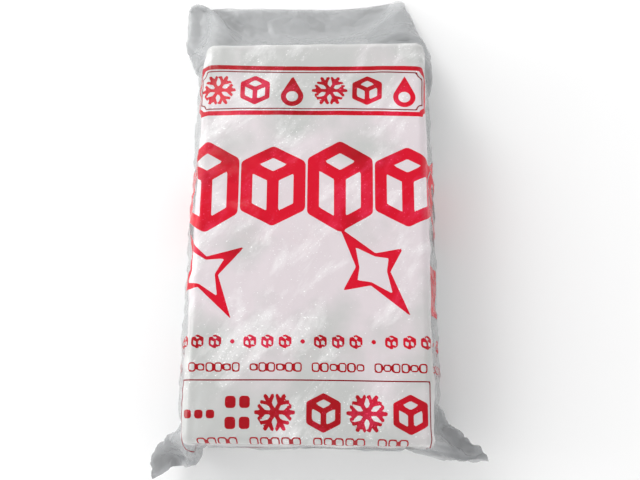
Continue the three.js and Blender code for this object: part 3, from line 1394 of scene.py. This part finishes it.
@dataclass
class Plate:
    """The printing plate: signed distances to the edges of plain shapes, in millimetres on the film.

    A distance is negative on the ink. Shapes are joined by taking the least distance. Every shape
    lies about the plate's own centre.
    """

    x: Array
    y: Array

    def moved(self, x: float, y: float, turn: float = 0.0) -> "Plate":
        """The same plate seen from a shape's own centre.

        Args:
            x: Where the centre is, across.
            y: Where it is, along.
            turn: How far the shape is turned, in degrees.

        Returns:
            The plate in the shape's own coordinates.
        """
        cos, sin = math.cos(math.radians(turn)), math.sin(math.radians(turn))
        own_x, own_y = self.x - x, self.y - y
        return Plate(own_x * cos + own_y * sin, own_y * cos - own_x * sin)

    def block(self, width: float, height: float, round_by: float = 0.0) -> Array:
        """A rectangle: the distance to it shrunk by the rounding, less the rounding.

        Args:
            width: Its size across.
            height: Its size along.
            round_by: The radius of its corners.

        Returns:
            The signed distance.
        """
        over_x = np.abs(self.x) - width / 2.0 + round_by
        over_y = np.abs(self.y) - height / 2.0 + round_by
        outside = np.hypot(np.maximum(over_x, 0), np.maximum(over_y, 0))
        return outside + np.minimum(np.maximum(over_x, over_y), 0) - round_by

    def stroke(self, start: Sequence[float], end: Sequence[float], width: float) -> Array:
        """A straight stroke with round ends: the distance to the nearest point between its ends.

        Args:
            start: One end.
            end: The other end.
            width: The stroke's width.

        Returns:
            The signed distance.
        """
        run_x, run_y = end[0] - start[0], end[1] - start[1]
        own_x, own_y = self.x - start[0], self.y - start[1]
        share = np.clip((own_x * run_x + own_y * run_y) / (run_x**2 + run_y**2), 0, 1)
        return np.hypot(own_x - share * run_x, own_y - share * run_y) - width / 2.0

    def polygon(self, corners: Sequence[Sequence[float]]) -> Array:
        """A filled shape with straight sides: the distance to the nearest side, negative inside.

        A point is inside when a line from it to the right crosses an odd number of sides.

        Args:
            corners: Its corners in order.

        Returns:
            The signed distance.
        """
        nearest = np.full(self.x.shape, np.inf)
        inside = np.zeros(self.x.shape, bool)
        for start, end in zip(corners, [*corners[1:], corners[0]]):
            nearest = np.minimum(nearest, self.stroke(start, end, 0.0))
            crosses = (start[1] > self.y) != (end[1] > self.y)
            if end[1] != start[1]:
                at = start[0] + (self.y - start[1]) * (end[0] - start[0]) / (end[1] - start[1])
                inside ^= crosses & (self.x < at)
        return np.where(inside, -nearest, nearest)

    def snow_crystal(self, radius: float, width: float) -> Array:
        """Six arms, each with a pair of side branches.

        Args:
            radius: How far the arms reach.
            width: An arm's width; the branches are a little thinner.

        Returns:
            The signed distance.
        """
        shape = []
        for turn in range(0, 360, 60):
            arm = self.moved(0, 0, turn)
            shape.append(arm.stroke((0, 0), (radius, 0), width))
            for side in (-1, 1):
                tip = (radius * 0.84, side * radius * 0.34)
                shape.append(arm.stroke((radius * 0.52, 0), tip, width * 0.85))
        return np.minimum.reduce(shape)

    def ice_cube(self, width: float, height: float, line: float, lid: float) -> Array:
        """A block of ice in bold outline, seen from one corner: a lid and two sides.

        Args:
            width: Its size across, between the middles of the lines.
            height: Its size along.
            line: The lines' width.
            lid: The lid's share of the height.

        Returns:
            The signed distance.
        """
        half, top, brow = width / 2.0, height / 2.0, height * lid / 2.0
        rim = [(0, top), (half, top - brow), (half, brow - top), (0, -top)]
        rim += [(-half, brow - top), (-half, top - brow)]
        front = (0, top - 2 * brow)
        shape = [self.stroke(a, b, line) for a, b in zip(rim, [*rim[1:], rim[0]])]
        shape += [self.stroke(front, rim[number], line) for number in (1, 3, 5)]
        return np.minimum.reduce(shape)

    def drop(self, radius: float, line: float) -> Array:
        """A drop of water in bold outline: a circle joined to a triangle that ends in a point.

        Args:
            radius: The circle's radius.
            line: The outline's width.

        Returns:
            The signed distance.
        """
        ball = np.hypot(self.x, self.y + radius * 0.35) - radius
        shoulder, tip = (radius * 0.86, radius * 0.16), (0, radius * 1.75)
        cap = self.polygon([(-shoulder[0], shoulder[1]), shoulder, tip])
        return np.abs(np.minimum(ball, cap) + line / 2.0) - line / 2.0

    def spark(self, radii: Sequence[float], waist: float, line: float, turn: float) -> Array:
        """A four-pointed spark in outline, its points solid and its line thin at the waist.

        The ink is what lies in an outer star and not in an inner one, whose points reach half as far
        and whose waist is a line's width less.

        Args:
            radii: How far the four points reach, counter-clockwise.
            waist: How far the four hollows lie from the centre.
            line: The line's width at the waist.
            turn: The first point's direction in degrees.

        Returns:
            The signed distance.
        """
        own = self.moved(0, 0, turn)
        angle = np.arange(8) * np.pi / 4
        stars = []
        for share, hollow in ((1.0, waist), (0.52, waist - line)):
            reach = np.ravel([(radius * share, hollow) for radius in radii])
            stars.append(own.polygon(list(zip(np.cos(angle) * reach, np.sin(angle) * reach))))
        return np.maximum(stars[0], -stars[1])

    def tiles(self, count: int, width: float, height: float, gap: float) -> Array:
        """A row of plain rounded tiles.

        Args:
            count: How many tiles.
            width: A tile's size across.
            height: Its size along.
            gap: The gap between tiles.

        Returns:
            The signed distance.
        """
        first = -(count - 1) * (width + gap) / 2.0
        rounding = min(width, height) * 0.3
        return np.minimum.reduce(
            [
                self.moved(first + number * (width + gap), 0).block(width, height, rounding)
                for number in range(count)
            ]
        )

    def notched_frame(self, width: float, height: float, notch: float) -> Array:
        """A rectangle whose corners are bitten out by quarter circles.

        Args:
            width: Its size across.
            height: Its size along.
            notch: The quarter circles' radius.

        Returns:
            The signed distance.
        """
        corner = np.hypot(np.abs(self.x) - width / 2.0, np.abs(self.y) - height / 2.0)
        return np.maximum(self.block(width, height), notch - corner)


@dataclass
class Artwork:
    """What is printed on the bag: plain pictures of ice, and plain tiles in place of words.

    Places are millimetres from the middle of the slab's face, X across and Y towards the mouth. A
    picture's sizes are in the order in which its shape on the plate takes them. Every method gives the
    signed distance to the edges of its shapes.
    """

    plate: Plate
    repeats: int = 11
    pitch: float = 50.0
    small_lid: float = 0.46
    banner_place: Pair = (3.0, 112.0)
    banner_size: Pair = (181.0, 43.0)
    banner_notch: float = 5.0
    banner_line: float = 3.8
    banner_pitch: float = 28.5
    banner_crystal: Pair = (12.5, 2.7)
    banner_cube: Triple = (19.0, 21.5, 3.6)
    banner_drop: Pair = (8.6, 4.0)
    drop_lift: float = -2.2
    rule_inset: float = 11.0
    rule_notch: float = 4.4
    band_place: Pair = (1.0, 31.5)
    band_cube: Triple = (39.6, 64.2, 8.8)
    band_short: float = 9.0
    band_lid: float = 0.38
    sparks: tuple[tuple[Pair, tuple[float, ...], float, float], ...] = (
        ((-74.0, -36.0), (40.0, 27.0, 42.0, 36.0), 12.0, 122.0),
        ((50.0, -34.0), (40.0, 27.0, 44.0, 27.0), 12.5, 127.0),
    )
    spark_line: float = 2.6
    bar_place: Pair = (106.0, -47.0)
    bar_size: Triple = (22.0, 38.0, 1.0)
    row_y: float = -88.0
    row_cube: Triple = (7.6, 8.6, 1.6)
    row_dot: float = 3.4
    box_x: float = 1.5
    box_side: float = 87.5
    box_top: float = -115.5
    box_bottom: float = -179.0
    box_row_y: float = -138.0
    box_pictures: tuple[float, ...] = (-19.0, 15.0, 45.0, 75.0)
    box_crystal: Pair = (13.0, 2.9)
    box_cube: Triple = (20.0, 23.0, 4.0)
    box_tiles: tuple[tuple[Pair, int, Triple], ...] = (
        ((-72.0, -1.0), 3, (6.0, 6.0, 2.2)),
        ((-45.0, 7.2), 2, (7.5, 8.5, 2.4)),
        ((-45.0, -7.2), 2, (7.5, 8.5, 2.4)),
    )
    outline_y: float = -106.4
    outline_tile: Triple = (4.6, 5.8, 1.2)
    outline_short: float = 1.6
    low_outline_y: float = -158.5
    low_outline_pitch: float = 7.4
    low_outline_tile: Triple = (5.4, 6.4, 1.2)

    def bold(self) -> Array:
        """Everything that is printed solid in the bright ink."""
        parts = (self.banner(), self.band(), self.spark_pair(), self.little_row(), self.box_row())
        return np.minimum.reduce(parts)

    def banner(self) -> Array:
        """The frame at the top with its six pictures: a crystal, an ice block and a drop, twice.

        Returns:
            The signed distance.
        """
        own = self.plate.moved(*self.banner_place)
        frame = own.notched_frame(*self.banner_size, self.banner_notch)
        shape = [np.abs(frame + self.banner_line / 2) - self.banner_line / 2]
        for number in range(6):
            place = own.moved((number - 2.5) * self.banner_pitch, 0)
            if number % 3 == 0:
                shape.append(place.snow_crystal(*self.banner_crystal))
            elif number % 3 == 1:
                shape.append(place.ice_cube(*self.banner_cube, self.small_lid))
            else:
                shape.append(place.moved(0, self.drop_lift).drop(*self.banner_drop))
        return np.minimum.reduce(shape)

    def band(self) -> Array:
        """The row of large ice blocks across the front and its folded sides, and three on the back.

        Every second block is shorter.

        Returns:
            The signed distance.
        """
        own = self.plate.moved(*self.band_place)
        width, tall, line = self.band_cube
        shape = []
        for number in (-6, -5, -3, -2, -1, 0, 1, 2, 4, 5):
            height = tall - (self.band_short if number % 2 else 0)
            place = own.moved((number + 0.5) * self.pitch, 0)
            shape.append(place.ice_cube(width, height, line, self.band_lid))
        return np.minimum.reduce(shape)

    def spark_pair(self) -> Array:
        """The two sparks below the band, and a bar at the right side.

        Returns:
            The signed distance.
        """
        shape = [self.plate.moved(*self.bar_place).block(*self.bar_size)]
        for place, radii, waist, turn in self.sparks:
            shape.append(self.plate.moved(*place).spark(radii, waist, self.spark_line, turn))
        return np.minimum.reduce(shape)

    def little_row(self) -> Array:
        """The row of little ice blocks and dots below the sparks, which runs on all round.

        Returns:
            The signed distance.
        """
        shape = []
        for number in range(-2 * self.repeats, 2 * self.repeats + 1):
            place = self.plate.moved(number * self.pitch / 4, self.row_y)
            if number % 4:
                shape.append(place.ice_cube(*self.row_cube, self.small_lid))
            else:
                shape.append(place.block(self.row_dot, self.row_dot, self.row_dot / 2))
        return np.minimum.reduce(shape)

    def box_row(self) -> Array:
        """The row of bold pictures in the lower box, crystals and ice blocks, with tiles before them.

        Returns:
            The signed distance.
        """
        own = self.plate.moved(0, self.box_row_y)
        shape = [own.moved(*place).tiles(count, *tile) for place, count, tile in self.box_tiles]
        for number, x in enumerate(self.box_pictures):
            place = own.moved(x, 0)
            if number % 2:
                shape.append(place.ice_cube(*self.box_cube, self.small_lid))
            else:
                shape.append(place.snow_crystal(*self.box_crystal))
        return np.minimum.reduce(shape)

    def outlines(self) -> Array:
        """Rows of small tiles whose edges are drawn in fine line, where there would be small print.

        Returns:
            The signed distance.
        """
        width, height, rounding = self.outline_tile
        tiles = []
        for number in range(-4 * self.repeats, 4 * self.repeats):
            if number % 7:
                place = self.plate.moved((number + 0.5) * self.pitch / 8, self.outline_y)
                short = 0.0 if number % 3 else self.outline_short
                tiles.append(place.block(width, height - short, rounding))
        for number in range(-10, 10):
            if number % 6:
                place = self.plate.moved((number + 0.5) * self.low_outline_pitch, self.low_outline_y)
                tiles.append(place.block(*self.low_outline_tile))
        return np.minimum.reduce(tiles)

    def rules(self) -> Array:
        """The large shapes whose edges are ruled: inside the banner's frame, and the lower box.

        Returns:
            The signed distance.
        """
        width, height = (size - self.rule_inset for size in self.banner_size)
        inner = self.plate.moved(*self.banner_place).notched_frame(width, height, self.rule_notch)
        middle = self.plate.moved(self.box_x, (self.box_top + self.box_bottom) / 2)
        return np.minimum(inner, middle.block(2 * self.box_side, self.box_top - self.box_bottom))


# ---------------------------------------------------------------------------------------------
# The bag
# ---------------------------------------------------------------------------------------------


@dataclass
class FilmBag:
    """The bag: its settled film made fine, printed and crinkled. Sizes are in millimetres.

    An ear is a place on the flat film, across and along, and where it ends up. A knot of the mouth is
    a place across the flat film, and where it ends up. A crinkle is a facet's size and its height's
    share of that.
    """

    slab: RoundedBox
    front_columns: int = 204
    back_columns: int = 100
    rows: int = 311
    clearance: float = 0.3
    floor_gap: float = 0.05
    cling_gap: Pair = (0.8, 2.2)
    far_cling_gap: float = 14.0
    far_cling_past: Pair = (-8.0, 2.0)
    cling_past: Pair = (-18.0, 20.0)
    gather_rows: Pair = (22.0, 46.0)
    gather_slant: float = 0.2
    gather_from: float = 90.0
    gather_reach: Pair = (84.0, 112.0)
    crinkles: tuple[Pair, ...] = ((30.0, 0.07), (12.0, 0.05))
    gather_crinkles: tuple[Pair, ...] = ((13.0, 0.16), (5.5, 0.27))
    cling_calm: float = 0.6
    crease_mm: float = 9.0
    crease_share: float = 0.15
    crease_stretch: float = 4.0
    crease_lean: float = -12.0
    ears: tuple[tuple[float, float, Triple], ...] = (
        (137.5, 0.0, (135.5, -170.0, 33.0)),
        (120.0, 0.0, (120.0, -168.0, 26.0)),
        (137.5, 17.0, (120.0, -158.0, 41.0)),
        (-137.5, 0.0, (-119.5, -187.0, 29.0)),
        (-120.0, 0.0, (-104.5, -177.3, 33.0)),
        (-137.5, 13.0, (-125.2, -177.7, 27.0)),
    )
    mouth: tuple[tuple[float, float, float, float], ...] = (
        (-127.0, -126.0, 241.0, 1.6),
        (-90.0, -90.5, 240.0, 1.6),
        (-40.0, -40.3, 239.0, 1.6),
        (20.0, 19.4, 236.5, 1.6),
        (48.0, 47.0, 239.5, 1.8),
        (66.0, 64.5, 242.0, 2.0),
        (82.0, 80.0, 244.0, 2.2),
    )

    def build(self) -> bpy.types.Object:
        """Makes the bag, dressed and riding on the body.

        Returns:
            The bag.
        """
        tube = TubeFilm(self.slab)
        tube.settle(self.ears, np.array(self.mouth))
        net, flat = self.fine_net(tube)
        cling, gather = self.contact(net, flat, tube)
        net = self.crinkled(net, flat, cling, gather)
        faces = grid_faces(*net.shape[:2], wrap=True)[:, ::-1]
        bag = add_mesh("bag_film", net.reshape(-1, 3) * MM, faces)
        art = Artwork(Plate(flat[..., 0], flat[..., 1] - tube.below_slab - self.slab.half[1]))
        for name, values in (
            (Ink.BOLD.value, art.bold()),
            (Ink.LINE.value, art.outlines()),
            (Ink.RULE.value, art.rules()),
            (CLING, cling),
            (ALONG, flat[..., 1]),
            (GATHER, gather),
        ):
            add_attribute(bag, name, values)
        bag.data.materials.append(PrintedFilm().material())
        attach(bag, BODY)
        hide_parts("bag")
        return bag

    def fine_net(self, tube: TubeFilm) -> tuple[Array, Array]:
        """Refines the settled net by smooth curves, more finely on the printed front.

        Args:
            tube: The settled film.

        Returns:
            The film's points, and where each one lies on the flat film: across and along.
        """
        half = tube.columns / 2
        columns = np.concatenate(
            [
                np.linspace(0, half, self.front_columns, endpoint=False),
                np.linspace(half, tube.columns, self.back_columns, endpoint=False),
            ]
        )
        rows = np.linspace(0, tube.rows - 1, self.rows)
        net = catmull_rom(tube.points.astype(float), rows, wrap=False)
        net = catmull_rom(net.swapaxes(0, 1), columns, wrap=True).swapaxes(0, 1)
        self.slab.push_out(net, self.clearance)
        around = columns * tube.step_round
        around = np.where(around > 1.5 * tube.width, around - 2 * tube.width, around) - tube.width / 2
        return net, np.stack(np.broadcast_arrays(around[None, :], rows[:, None] * tube.step_along), -1)

    def contact(self, net: Array, flat: Array, tube: TubeFilm) -> tuple[Array, Array]:
        """Finds where the film clings to the ice, and where it is gathered into the ears.

        It clings where its gap to the ice is small, with more allowed over the slab's far edge, and
        not past that. It is gathered near the weld, at the sides, where it doesn't cling.

        Args:
            net: The film's points.
            flat: Where each point lies on the flat film.
            tube: The settled film.

        Returns:
            Both as shares from 0 to 1.
        """
        far_end = flat[..., 1] - tube.slab_to
        least, most = self.cling_gap
        most = most + self.far_cling_gap * smooth_step(far_end, *self.far_cling_past)
        cling = 1.0 - smooth_step(self.slab.gap(net), least, most)
        cling = cling * (1.0 - smooth_step(far_end, *self.cling_past))
        reach = np.abs(flat[..., 0])
        near_end = flat[..., 1] - self.gather_slant * (reach - self.gather_from)
        gather = 1.0 - smooth_step(near_end, *self.gather_rows)
        reach = reach - 2.0 * np.maximum(reach - tube.width / 2.0, 0.0)
        return cling, gather * smooth_step(reach, *self.gather_reach) * (1.0 - cling)

    def crinkled(self, net: Array, flat: Array, cling: Array, gather: Array) -> Array:
        """Presses crumple facets into the film, along its own outward direction.

        The slight crinkles are everywhere, streaked creases where the film is loose, and coarse and
        fine crumples in the ears.

        Args:
            net: The film's points.
            flat: Where each point lies on the flat film.
            cling: 1 where the film lies on the ice, which keeps it nearly smooth, and 0 where loose.
            gather: 1 where the film is gathered into the ears, which crumples it most.

        Returns:
            The film's new points.
        """
        wrapped = np.concatenate([net[:, -1:], net, net[:, :1]], axis=1)
        outward = np.cross(wrapped[:, 2:] - wrapped[:, :-2], np.gradient(net, axis=0))
        outward /= np.maximum(np.linalg.norm(outward, axis=-1, keepdims=True), 1e-9)
        outward *= np.sign(np.median(outward[:, : self.front_columns // 2, 2]))
        slight, crumples = (
            sum(share * facets(flat, size, seed) for seed, (size, share) in enumerate(kinds, first))
            for kinds, first in ((self.crinkles, 0), (self.gather_crinkles, 7))
        )
        lean = math.radians(self.crease_lean)
        along = (flat[..., 0] * math.cos(lean) + flat[..., 1] * math.sin(lean)) / self.crease_stretch
        across = flat[..., 1] * math.cos(lean) - flat[..., 0] * math.sin(lean)
        creases = facets(np.stack([along, across], -1), self.crease_mm, 9)
        height = slight * (1.0 - self.cling_calm * cling)
        height = height + self.crease_share * creases * (1.0 - cling) + gather * crumples
        net = net + outward * height[..., None]
        self.slab.push_out(net, self.clearance)
        net[..., 2] = np.maximum(net[..., 2], self.floor_gap)
        return net


# ---------------------------------------------------------------------------------------------
# Studio
# ---------------------------------------------------------------------------------------------


@dataclass(frozen=True)
class Softbox:
    """A rectangular soft light: where it stands, what it points at, its two sides and its watts."""

    name: str
    place: Triple
    target: Triple
    size: Pair
    power: float

    def build(self) -> None:
        """Adds the light to the scene, turned to its target."""
        light = bpy.data.lights.new(self.name, "AREA")
        light.shape = "RECTANGLE"
        light.size, light.size_y = self.size
        light.energy = self.power
        lamp = bpy.data.objects.new(self.name, light)
        lamp.location = self.place
        aim = Vector(self.target) - Vector(self.place)
        lamp.rotation_euler = aim.to_track_quat("-Z", "Y").to_euler()
        bpy.context.scene.collection.objects.link(lamp)


@dataclass
class Studio:
    """A white surface under soft light, and the camera above the slab's lower end. Metres, degrees."""

    floor_size: float = 6.0
    camera_place: Triple = (0.0354, -0.1567, 0.593)
    camera_turn: Triple = (15.745, 2.82, 0.848)
    lens: float = 40.0
    upward_sky: tuple[float, float, float, float] = (0.35, 0.9, 1.65, 0.445)
    sideways_sky: tuple[float, float, float, float] = (-0.8, 0.8, 1.15, 0.8)
    lights: tuple[Softbox, ...] = (
        Softbox("key_light", (-0.75, 1.0, 0.85), (0.0, 0.05, 0.03), (0.6, 0.6), 8.0),
        Softbox("side_light", (-1.3, -0.1, 0.5), (0.0, 0.0, 0.03), (0.5, 0.5), 3.0),
        Softbox("edge_light", (-0.35, 0.73, 1.2), (-0.08, 0.12, 0.07), (0.08, 0.3), 0.6),
    )

    def build(self) -> None:
        """Sets the floor, the sky, the lights and the camera."""
        self.floor()
        self.sky()
        for light in self.lights:
            light.build()
        self.camera()

    def floor(self) -> None:
        """The white surface that the bag lies on."""
        half = self.floor_size / 2.0
        corners = np.array([(-half, -half, 0), (half, -half, 0), (half, half, 0), (-half, half, 0)])
        floor = add_mesh("floor", corners, np.array([[0, 1, 2, 3]]), smooth=False)
        floor.data.materials.append(WhiteBoard().material())

    def sky(self) -> None:
        """White light from all round, dimmer overhead and to the right, so that gloss shows.

        Its strength is the product of two ramps, upward and sideways. Each goes from its third value
        to its fourth, as the direction's share of that way goes from its first to its second.
        """
        world = bpy.data.worlds.new("soft_white")
        world.use_nodes = True
        background = world.node_tree.nodes["Background"]
        direction = add_node(world, "ShaderNodeTexCoord").outputs["Generated"]
        way = add_node(world, "ShaderNodeSeparateXYZ", Vector=direction)
        upward, sideways = (
            add_node(
                world,
                "ShaderNodeMapRange",
                Value=way.outputs[axis],
                From_Min=start,
                From_Max=end,
                To_Min=first,
                To_Max=last,
            )
            for axis, (start, end, first, last) in (("Z", self.upward_sky), ("X", self.sideways_sky))
        )
        glow = add_node(
            world,
            "ShaderNodeMath",
            operation="MULTIPLY",
            i0=upward.outputs["Result"],
            i1=sideways.outputs["Result"],
        )
        world.node_tree.links.new(glow.outputs[0], background.inputs["Strength"])
        background.inputs["Color"].default_value = linear_colour("#ffffff")
        bpy.context.scene.world = world
        bpy.context.scene.view_settings.view_transform = "Standard"

    def camera(self) -> None:
        """The camera, looking down past the lower end."""
        lens = bpy.data.cameras.new("camera")
        lens.lens = self.lens
        lens.clip_start = 0.01
        camera = bpy.data.objects.new("camera", lens)
        camera.location = self.camera_place
        camera.rotation_euler = Euler([math.radians(turn) for turn in self.camera_turn])
        bpy.context.scene.collection.objects.link(camera)
        bpy.context.scene.camera = camera


def main() -> None:
    """Loads the frame, builds the studio, the slab and the bag."""
    logging.basicConfig(level=logging.INFO, format="%(name)s: %(message)s")
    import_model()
    Studio().build()
    slab = IceSlab()
    for piece in [*slab.build(), FilmBag(slab.shape).build()]:
        mesh = piece.data
        LOG.info("%s: %d points, %d faces", piece.name, len(mesh.vertices), len(mesh.polygons))
    bpy.context.view_layer.update()


if __name__ == "__main__":
    main()
